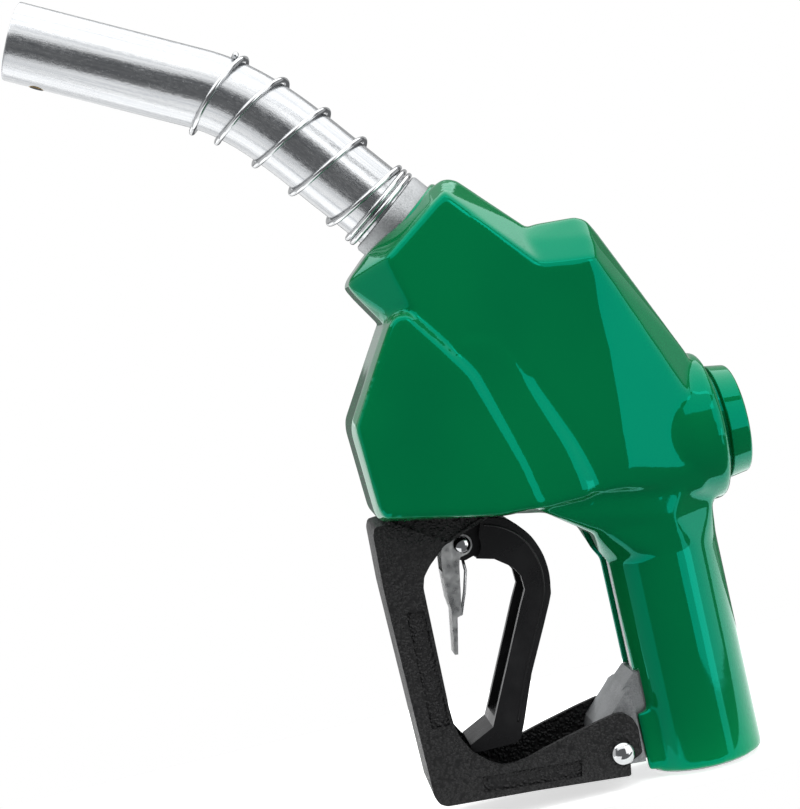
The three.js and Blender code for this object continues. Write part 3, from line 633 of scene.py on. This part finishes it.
def makeSpout():
    root, outer, lip = spout["root"] * mm, spout["radius"], spout["lip"]
    inner = outer - spout["wall"]
    steps, inside = spout["steps"], spout["steps"] // 2
    sections = [(root + (spoutLength - lip * mm - root) * i / steps, outer) for i in range(steps + 1)]
    for i in range(1, 5):
        angle = math.radians(90 * i / 4)
        sections.append((spoutLength - lip * mm * (1 - math.sin(angle)), outer - lip * (1 - math.cos(angle))))
    for i in range(5):
        angle = math.radians(90 * i / 4)
        sections.append((spoutLength - lip * mm * (1 - math.cos(angle)), inner + lip * (1 - math.sin(angle))))
    sections += [(spoutLength - lip * mm - (spoutLength - lip * mm - root) * i / inside, inner)
                 for i in range(1, inside + 1)]
    sections.append((root, outer))
    stations = [spoutStation(d, r) for d, r in sections]
    tube = drawn(stations, spout["sides"], closed=True, straightened=[(d, r * mm) for d, r in sections])
    pieceFrom(tube, "spoutTube", "nozzle_body", "spout_aluminium", ["spout_tube"])

    vent, ahead = spoutPlace(spoutLength - spout["ventFromTip"] * mm)
    down = Vector((-ahead.z, 0, ahead.x))
    port = turned(spout["ventRing"], vent, down, 40)
    pieceFrom(port, "ventPort", "nozzle_body", "brass", ["vent_port_bush"], rounding=0.1, roundSteps=2)
    plug = turned(spout["ventPlug"], vent, down, 32)
    pieceFrom(plug, "ventScreen", "nozzle_body", "black_rubber", ["vent_port_bush"])

    ferrule = turned(spout["ferrule"], collar, spoutAxis, 96)
    pieceFrom(ferrule, "spoutFerrule", "nozzle_body", "cast_aluminium", ["spout_ferrule"], rounding=0.5)


anchorSpring = {
    "wire": 1.1, "radius": 16.6, "turns": 7.06, "stepsPerTurn": 44,
    # along the spout from the collar, at every half turn
    "places": [7.5, 8.65, 9.8, 10.95, 12.2, 19.9, 29.1, 38.3, 46.5, 56.7, 64.4, 76, 79.2, 88.9, 82.8, 81],
}


def smoothBetween(values, place):  # between the entries of a list, without overshoot
    i = min(int(place), len(values) - 2)

    def slope(k):
        if not 0 < k < len(values) - 1:
            return 0
        before, after = values[k] - values[k - 1], values[k + 1] - values[k]
        return 2 * before * after / (before + after) if before * after > 0 else 0

    s = place - i
    rise = values[i + 1] - values[i]
    return values[i] + s * s * (3 - 2 * s) * rise + s * (1 - s) * ((1 - s) * slope(i) - s * slope(i + 1))


def makeAnchorSpring():
    s = anchorSpring
    count = round(s["turns"] * s["stepsPerTurn"])
    path = []
    for i in range(count + 1):
        turn = s["turns"] * i / count
        point, ahead = spoutPlace(smoothBetween(s["places"], 2 * turn) * mm)
        up = Vector((ahead.z, 0, -ahead.x))
        angle, reach = math.tau * turn, s["radius"] * mm
        path.append(point + up * reach * math.cos(angle) - alongY * reach * math.sin(angle))
    wire = drawn(wireStations(path, s["wire"] * mm), 14)
    pieceFrom(wire, "anchorSpring", "nozzle_body", "chrome_wire", ["anchor_spring"])


# Cover

cover = {
    "wall": 2.4, "grain": 1.15, "softening": 6,  # grain and softening set how rounded the edges are
    "handleRadius": 23.3, "handleTop": 84, "valveHeight": 126,
    "neck": [
        (-86.0, 219.0, 15), (-56.0, 238.2, 15), (-52.0, 240.0, 15), (-47.5, 238.6, 15),
        (-26.0, 216.5, 15), (-16, 190, 15), (-40, 150, 15),
        (-80.4, 215.3, 29.5), (-54.7, 233.9, 29.5), (-26.0, 201.3, 30.8), (-20, 185, 30.8), (-45, 150, 31),
        (-76.8, 208.3, 29.8), (-73.8, 194.2, 30.2), (-72, 180, 30.4),
        (-86.8, 212.5, 20), (-85.0, 203.2, 20), (-82.5, 194, 20), (-94.3, 211.4, 14),
        (-96.0, 208.4, 14), (-93.3, 203.4, 14), (-84.5, 190, 14), (-76, 176, 14),
    ],
    "middle": [
        (-34, 205, 14), (-27, 214.5, 14), (-22, 216, 14), (-16, 215.3, 14), (-6, 215.2, 14),
        (-2, 213.2, 14), (1.4, 206.6, 14),
        (12.7, 177.5, 14), (24.7, 155.4, 14), (24, 98, 12), (-40, 107.7, 12), (-75, 115, 12),
        (-75, 165, 12),
        (-28.3, 210.5, 22), (-15.1, 208.2, 22), (-4.6, 207.2, 23), (-2.6, 204, 24),
        (-40.4, 200, 30.6), (-25.5, 200.4, 30.8), (-13.6, 197.5, 31), (-5.0, 198.6, 30.4),
        (-8.2, 180, 31.0), (-7.6, 165, 31.2), (-8.6, 140, 31.1), (-10.0, 121, 31.0), (-13.3, 113.4, 30.6),
        (-38, 168, 30.6), (-34.0, 151, 30.2), (-27, 137, 29.6), (-21.8, 123, 28.9),
        (-17.2, 114.4, 28.2), (-70, 116, 26), (-70, 165, 28),
        (6.6, 173.0, 24), (13.1, 154.7, 24), (21.5, 136, 24), (23.5, 131, 24.6), (22, 112, 24.4),
        (17, 104, 22),
    ],
    "secondPanel": [
        (-47.3, 176.7, 31.0), (-44.0, 168.4, 31.5), (-37.2, 149.6, 31.9), (-31.0, 132.4, 32.2),
        (-28.6, 120.4, 32.2), (-27.8, 112.4, 31.8),
        (-43.5, 168.6, 30.7), (-34.0, 151, 30.2), (-26.2, 137, 29.5), (-20.8, 123, 28.8),
        (-16.4, 114.4, 28.2),
        (-45.8, 112.2, 31.9), (-70, 116, 31.9), (-70, 165, 31.2), (-60, 180, 31), (-62, 128, 10),
        (-36, 118, 10),
    ],
    "chin": [
        (-105.3, 122.3, 20), (-107.1, 153.9, 20), (-106.5, 158.2, 20), (-86.2, 191.6, 20), (-80, 188, 20),
        (-60, 175, 20), (-50, 150, 20), (-45, 111, 20), (-58.4, 111.4, 20), (-103.3, 119.8, 20),
        (-104.0, 126.0, 33), (-105.6, 156.6, 33), (-85.4, 190.6, 33), (-82.0, 194.0, 33),
        (-78.1, 193.6, 33), (-67.2, 178.4, 33), (-59.5, 166.4, 33),
        (-56.0, 155.0, 33), (-52.4, 143.2, 33), (-48.2, 129.3, 33), (-44.9, 113, 33),
        (-60.7, 113.6, 33), (-102.4, 121.9, 33),
    ],
    "throatLow": [(-26.2, 97, 21), (-21.5, 97, 24.4), (4, 97, 25), (22, 98, 14)],
    "throatHigh": [
        (-26.2, 97, 21), (-21.5, 97, 24.4), (4, 97, 25), (22, 98, 14), (-30.2, 102.2, 25),
        (-34.2, 105.3, 27),
        (-41.2, 109.6, 29), (-45, 111, 29), (8, 108, 24.5), (20, 125, 23.5),
    ],
    "slotLip": ((-24.2, -16), (12.5, 15.4), (2.4, 25.6)),
    "collarLip": [(17.75, -4.6), (19.9, -4.2), (20.1, -2.2), (19.3, -1.0), (17.9, -0.8)],
    "flange": [(25, 0), (29, 18), (29, 28.3), (27.4, 30.4), (20, 30.4)],
    "cap": [
        (19.4, 28), (20.4, 28), (20.4, 32.6), (22.3, 33.0), (21.1, 40.4), (20.4, 41.0), (0, 41.0),
        (0, 38.6),
        (19.4, 38.6),
    ],
    "inletHole": (20.7, -5, 6), "collarHole": (18.0, -14, 14), "valveHole": (19.5, 20, 40),
    "openings": [  # x, y and z limits
        ((-102, -56), (-22, 22), (100, 122)),  # guard and lever
        ((-58, -37), (-15, 15), (98, 114)),  # lever's back
        ((-34, -8), (-9, 9), (40, 96)),  # slot in the handle
        ((-30, -8), (-12.5, 12.5), (-3, 41)),  # hinge lug
    ],
}


def coverBlank():  # the whole outside skin, before its openings
    lumps = [wrapped(cover[name]) for name in ("neck", "middle", "secondPanel", "chin", "throatHigh")]
    x, (near, far), z = cover["slotLip"]
    lumps += [block(x, (near, far), z), block(x, (-far, -near), z)]
    throat = bmesh.new()
    bmesh.ops.create_circle(throat, radius=cover["handleRadius"] * mm, segments=64)
    bmesh.ops.translate(throat, verts=throat.verts, vec=(0, 0, cover["handleTop"] * mm))
    throat = wrapped(cover["throatLow"], throat)
    radius, low, high = cover["handleRadius"], 0.5, cover["handleTop"] + 8
    handle = turned([(0, low), (radius, low), (radius, high), (0, high)], Vector(), alongZ, 96)
    endOfFlange = cover["flange"][-1][1]
    flange = turned([(0, 0)] + cover["flange"] + [(0, endOfFlange)], at(0, cover["valveHeight"]), alongX, 96)
    blank = held(gathered(*lumps, throat, handle, flange))
    fuse = blank.modifiers.new("fuse", "REMESH")
    fuse.mode, fuse.voxel_size = "VOXEL", cover["grain"] * mm
    shape = taken(blank)
    bpy.data.objects.remove(blank)
    for _ in range(cover["softening"]):
        bmesh.ops.smooth_vert(shape, verts=shape.verts, factor=0.5,
                              use_axis_x=True, use_axis_y=True, use_axis_z=True)
    return shape


def squareOpening(shape, x, y, z):  # a straight-sided opening through the skin
    room = 3  # only the faces this near are cut

    def within(face, extra):
        middle = face.calc_center_median()
        return all(low - extra < middle[i] / mm < high + extra for i, (low, high) in enumerate((x, y, z)))

    for way, limits in ((0, x), (1, y), (2, z)):
        for limit in limits:
            faces = [f for f in shape.faces if within(f, room)]
            edges = {e for f in faces for e in f.edges}
            verts = {v for f in faces for v in f.verts}
            side = Vector((way == 0, way == 1, way == 2))
            bmesh.ops.bisect_plane(shape, geom=[*verts, *edges, *faces], dist=1e-6,
                                   plane_co=side * limit * mm, plane_no=side)
    bmesh.ops.delete(shape, geom=[f for f in shape.faces if within(f, 0)], context="FACES")


def roundOpening(shape, place, axis, radius, fromDistance, toDistance):  # distances run along the axis
    nearEdge = 2.5  # points this near the circle are drawn onto it

    def parts(point):
        away = (point - place) / mm
        return away.dot(axis), away - axis * away.dot(axis)

    inside = []
    for face in shape.faces:
        distance, out = parts(face.calc_center_median())
        if fromDistance < distance < toDistance and out.length < radius:
            inside.append(face)
    bmesh.ops.delete(shape, geom=inside, context="FACES")
    for v in shape.verts:
        if v.is_boundary:
            distance, out = parts(v.co)
            if fromDistance < distance < toDistance and abs(out.length - radius) < nearEdge:
                v.co += out.normalized() * (radius - out.length) * mm


def makeCover():
    shape = coverBlank()
    print("cover blank:", len(shape.faces), "faces")
    roundOpening(shape, Vector(), alongZ, *cover["inletHole"])
    roundOpening(shape, collar, spoutAxis, *cover["collarHole"])
    roundOpening(shape, at(0, cover["valveHeight"]), alongX, *cover["valveHole"])
    for limits in cover["openings"]:
        squareOpening(shape, *limits)
    loose = [v for v in shape.verts if not v.link_faces]
    bmesh.ops.delete(shape, geom=loose, context="VERTS")
    bmesh.ops.recalc_face_normals(shape, faces=shape.faces)
    pieceFrom(shape, "gripCover", "nozzle_body", "cover_vinyl", ["grip_cover"], wall=cover["wall"])
    lip = turned(cover["collarLip"], collar, spoutAxis, 96)
    pieceFrom(lip, "collarLip", "nozzle_body", "cover_vinyl", ["grip_cover"], rounding=0.5)
    cap = turned(cover["cap"], at(0, cover["valveHeight"]), alongX, 96)
    pieceFrom(cap, "coverCap", "nozzle_body", "cover_vinyl", ["grip_cover"], rounding=1.4, roundSteps=5)


# Lever

lever = {
    "halfWidth": 13, "armHalfWidth": 6.5,
    "skin": 3, "slope": 3.2,  # the wall beside the channel, and the bevel along the back
    "outline": [
        (-66, 112.5), (-59.1, 110.6), (-55.5, 108.6), (-52.7, 105.9), (-49.4, 101.8), (-47.3, 97.6),
        (-45.7, 92.4), (-45.1, 86), (-45.8, 80), (-47.6, 74.4), (-60.1, 49.6), (-67, 32), (-69.5, 26.5),
        (-72, 25.2), (-88.7, 25.2), (-88.9, 28.5), (-79, 33.2), (-70.3, 51.2), (-58.5, 76), (-55.6, 81.5),
        (-55.9, 87), (-58.3, 91), (-64.5, 95.6), (-71, 97.3),
    ],
    "arm": [
        (-66, 112.5), (-72.2, 121.5), (-72.2, 123), (-70.6, 124.2), (-69.8, 126), (-70.6, 127.8),
        (-72.2, 129), (-70.2, 154), (-71.4, 159.4), (-76, 162), (-80.6, 159.4), (-82, 154), (-81.5, 106),
        (-79.5, 98.5), (-74.9, 96.7), (-67, 99),
    ],
    "channel": [
        (-75.5, 94.2), (-66.5, 93), (-61, 89.5), (-58.7, 86), (-58.5, 82), (-61.5, 76.3), (-73.5, 51),
        (-80, 36.5), (-74.5, 36.5), (-67.3, 50.8), (-55.5, 75.2), (-52.9, 81), (-53.2, 87.6), (-56, 93),
        (-61, 97.5), (-66, 99.9), (-75, 99.5),
    ],
    "rim": [
        (-65.5, 109.2), (-60, 107.2), (-54.7, 103.6), (-51.3, 99.4), (-49.4, 95.2), (-48.1, 90),
        (-47.8, 85.2), (-48.6, 79),
        (-50.4, 74.2), (-56, 63), (-62.6, 49.6), (-69.2, 33),
    ],
    "rimRadius": 0.5, "pivot": (-76, 156), "boreRadius": 2.6, "clipRivet": (-74.9, 103.2), "rivetRecess": 6.8,
    "clipSlot": ((-80, -64), (-6.5, 6.5), (90, 104)),
}


def curved(points, steps):  # a smooth line through the points
    line = []
    for i in range(len(points) - 1):
        a, b, c, d = (Vector(points[min(max(i + k, 0), len(points) - 1)]) for k in (-1, 0, 1, 2))
        for k in range(steps):
            t = k / steps
            line.append(tuple((b * 2 + (c - a) * t + (a * 2 - b * 5 + c * 4 - d) * t * t
                               + (b * 3 - a - c * 3 + d) * t ** 3) / 2))
    return line + [points[-1]]


def makeLever():
    back = curved(lever["outline"][:11], 3) + lever["outline"][11:12]
    grip = slab(back + lever["outline"][12:], -lever["halfWidth"], lever["halfWidth"])
    places = {(round(x, 3), round(z, 3)) for x, z in back}

    def onBack(edge):
        first, second = (v.co / mm for v in edge.verts)
        level = abs(first.y - second.y) < 0.001
        return level and all((round(v.x, 3), round(v.z, 3)) in places for v in (first, second))

    edges = [e for e in grip.edges if onBack(e)]
    bmesh.ops.bevel(grip, geom=edges, affect="EDGES", offset=lever["slope"] * mm, offset_type="OFFSET",
                    segments=1, profile=0.5, material=-1, clamp_overlap=True)
    arm = slab(lever["arm"], -lever["armHalfWidth"], lever["armHalfWidth"], corner=1.2)
    inner = lever["halfWidth"] - lever["skin"]
    hollow = slab(lever["channel"], -inner, inner, corner=1.5)
    hollow = combined(hollow, block(*lever["clipSlot"]), "DIFFERENCE")
    shape = combined(combined(grip, arm, "UNION"), hollow, "DIFFERENCE")
    for way in (-1, 1):
        size, low, high = lever["rivetRecess"], 6.8, 14
        profile = [(0, low), (size, low), (size, high), (0, high)]
        recess = turned(profile, at(*lever["clipRivet"]), alongY * way, 48)
        shape = combined(shape, recess, "DIFFERENCE")
    size, reach = lever["boreRadius"], lever["armHalfWidth"] + 1.5
    bore = turned([(0, -reach), (size, -reach), (size, reach), (0, reach)], at(*lever["pivot"]), alongY, 32)
    shape = combined(shape, bore, "DIFFERENCE")
    pieceFrom(shape, "squeezeLever", "lever", "lever_nylon", ["lever"], rounding=0.9)
    line = curved(lever["rim"], 6)
    for way, name in ((-1, "leverRimNear"), (1, "leverRimFar")):
        path = [at(x, z, way * (lever["halfWidth"] - 0.15)) for x, z in line]
        wire = drawn(wireStations(path, lever["rimRadius"] * mm), 10)
        pieceFrom(wire, name, "lever", "lever_nylon", ["lever"])


# Hold-open clip

clip = {
    "ear": [
        (-74.9, 107.4), (-77.9, 106.2), (-81.9, 104.7), (-83.5, 101.8), (-84.3, 94.3), (-84.6, 83.4),
        (-84, 78.8), (-81.9, 76.4), (-80.6, 78), (-77.7, 94.9), (-76.8, 98.6), (-73, 99.4), (-71, 101.6),
        (-70.9, 104.5), (-72.2, 106.4),
    ],
    "bridge": [(-84.3, 94.3), (-84.6, 83.4), (-84, 78.8), (-82.6, 78.4), (-83.3, 83.4), (-83, 94.1)],
    "strip": [(-84, 79.5), (-86.6, 62.3), (-85.3, 62.1), (-82.2, 77)],
    "earInner": 7.1, "earOuter": 8.3, "stripHalfWidth": 6,
    "rivet": [(0, 9.9), (1.5, 9.75), (2.6, 9.35), (3.3, 8.8), (3.4, 8.5), (2, 8.4)],
    "wire": [
        (-75.4, 97.6, -3), (-75.3, 92.5, -3.4), (-77.4, 85, -3.7), (-80.6, 76.5, -4), (-82.6, 76.2, -4),
    ],
    "wireRadius": 0.6,
}


def domedRivet(profile, place):  # the same dome at both ends
    return turned([(r, -d) for r, d in profile] + profile[::-1], place, alongY, 48)


def makeClip():
    shape = slab(clip["ear"], clip["earInner"], clip["earOuter"], corner=0.8)
    shape = combined(shape, slab(clip["ear"], -clip["earOuter"], -clip["earInner"], corner=0.8), "UNION")
    shape = combined(shape, slab(clip["bridge"], -clip["earOuter"], clip["earOuter"]), "UNION")
    shape = combined(shape, slab(clip["strip"], -clip["stripHalfWidth"], clip["stripHalfWidth"]), "UNION")
    pieceFrom(shape, "holdOpenClip", "clip", "zinc_steel", ["hold_open_clip"], rounding=0.25, roundSteps=2)
    rivet = domedRivet(clip["rivet"], at(*lever["clipRivet"]))
    pieceFrom(rivet, "clipRivet", "lever", "chrome_wire", ["clip_rivet"])
    wire = drawn(wireStations([at(*point) for point in clip["wire"]], clip["wireRadius"] * mm), 12)
    pieceFrom(wire, "clipSpringWire", "clip", "stainless", ["clip_spring"])


# Hand guard

guard = {
    "halfWidth": 20, "wall": 2.5, "panelDepth": 0.9,
    "outline": [
        (-106.5, 118.3), (-107.7, 115.5), (-108.4, 94.5), (-107.7, 64.7), (-107, 14.2), (-105.6, 11),
        (-103, 9.5), (-69, 7.3), (-32.3, 4.1), (-31.5, 9.3), (-26.3, 11.6), (-25.8, 21.7), (-27.2, 25.6),
        (-30.2, 28.2), (-33.9, 28.4), (-42.1, 26.8), (-58.2, 23.1), (-69.7, 20.1), (-74.9, 19.3),
        (-79.1, 19.7), (-83.7, 22.2), (-89, 27.1), (-92.6, 33.7), (-93.8, 39.1), (-94.2, 45.6),
        (-93.9, 72.1), (-93.6, 92), (-92.4, 96.1), (-89.4, 99.7), (-82.6, 105.7), (-65.5, 111.7),
        (-61.4, 113.1), (-62, 132), (-70, 138), (-100.4, 138), (-100.4, 118.8),
    ],
    "channel": [
        (-97.8, 140), (-97.8, 116), (-104.9, 114), (-105.8, 94.5), (-105.1, 64.7), (-104.4, 14.8),
        (-102.6, 12.2), (-69, 9.9), (-20, 6.2), (-20, 140),
    ],
    "legPanel": [(-102.1, 84.3), (-95.2, 83.7), (-95.2, 39.3), (-102.4, 39.3)],
    "railPanel": [(-88.3, 11.2), (-50.7, 8.4), (-49.6, 14.5), (-87.6, 17.3)],
    "topPanel": [
        (-102.4, 120.6), (-81.5, 106.8), (-77.5, 108.7), (-69.8, 111.6), (-64, 113.6), (-64, 134),
        (-99, 134),
    ],
    "rivetPlace": (-33.6, 13.2),
    "rivet": [(0, 22.6), (1.6, 22.45), (3.0, 21.9), (4.1, 21.1), (4.7, 20.3), (2.5, 20.2)],
}


def makeGuard():
    half = guard["halfWidth"]
    shape = slab(guard["outline"], -half, half, corner=0.9)
    inner = half - guard["wall"]
    shape = combined(shape, slab(guard["channel"], -inner, inner), "DIFFERENCE")
    for name in ("legPanel", "railPanel", "topPanel"):
        for way in (-1, 1):
            depth = half - guard["panelDepth"]
            low, high = sorted((way * depth, way * (half + 1)))
            shape = combined(shape, slab(guard[name], low, high, corner=0.5), "DIFFERENCE")
    pieceFrom(shape, "handGuard", "nozzle_body", "guard_nylon", ["hand_guard"], rounding=0.55)
    rivet = domedRivet(guard["rivet"], at(*guard["rivetPlace"]))
    pieceFrom(rivet, "guardRivet", "nozzle_body", "chrome_wire", ["guard_rivet"])


# Floor

def makeFloor():
    low = cadBounds[0][2] - studio["floorDrop"] * mm
    shape = bmesh.new()
    bmesh.ops.create_grid(shape, x_segments=4, y_segments=4, size=1)
    bmesh.ops.scale(shape, vec=(*studio["floorHalfSize"], 1), verts=shape.verts)
    bmesh.ops.translate(shape, vec=(0, studio["floorBehind"], low), verts=shape.verts)
    mesh = bpy.data.meshes.new("studioFloor")
    shape.to_mesh(mesh)
    shape.free()
    floor = bpy.data.objects.new("studioFloor", mesh)
    scene.collection.objects.link(floor)
    mesh.materials.append(makeFloorPaper())


# Everything

makeCamera()
makeStudio()
makeFloor()
print("studio made")
for part in frame["record"]["subparts"]:
    thing = frame["nodes"][part["node"]]
    thing.data.materials.clear()
    thing.data.materials.append(finishes[part["material_slot"]])
makeSpout()
makeAnchorSpring()
print("spout made")
makeCover()
print("cover made")
makeLever()
makeClip()
makeGuard()
print("lever, clip and guard made")
